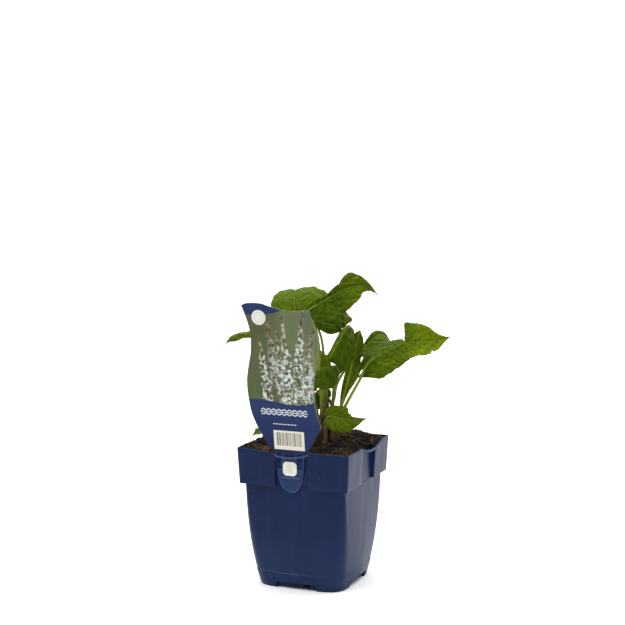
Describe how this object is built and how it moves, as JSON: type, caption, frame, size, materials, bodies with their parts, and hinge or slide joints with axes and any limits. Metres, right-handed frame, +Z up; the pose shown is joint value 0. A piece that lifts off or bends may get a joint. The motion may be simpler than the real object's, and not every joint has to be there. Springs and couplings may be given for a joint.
{
  "type": "potted alba mountain fleece",
  "caption": "Young leafy perennial with long-stalked heart-based leaves, growing in soil in a square nursery pot with a wavy hanging plant label.",
  "frame": {"origin": "on the surface the pot stands on, under the middle of the whole object's box, which is a little to the right of the pot's own axis and behind it", "axes": "+Z up, -Y towards the pot's label side, +X to the right of someone who faces the label"},
  "size_m": [0.2058, 0.149, 0.2907],
  "materials": {
    "pot_plastic": "satin moulded",
    "label_plastic": "smooth printed sheet",
    "potting_soil": "loose crumbs and fibres",
    "dry_stalk": "dry and fibrous",
    "leaf_light": "satin leaf",
    "leaf_dark": "satin leaf"
  },
  "bodies": {
    "root": {"pot": "pot_plastic", "label": "label_plastic", "soil": "potting_soil", "old_stalks": "dry_stalk", "leaf_back_arched": "leaf_light", "leaf_top": "leaf_light", "leaf_under_top": "leaf_dark", "leaf_young_upright": "leaf_light", "leaf_hood": "leaf_dark", "leaf_drooping": "leaf_light", "leaf_rolled": "leaf_light", "leaf_right_torn": "leaf_light", "leaf_behind_right": "leaf_dark", "leaf_front_low": "leaf_light", "leaf_shaded": "leaf_dark", "leaf_left_long": "leaf_light", "leaf_left_low": "leaf_light", "leaf_left_middle": "leaf_light", "leaf_back_low": "leaf_dark", "leaf_back_left": "leaf_dark"}
  },
  "joints": []
}
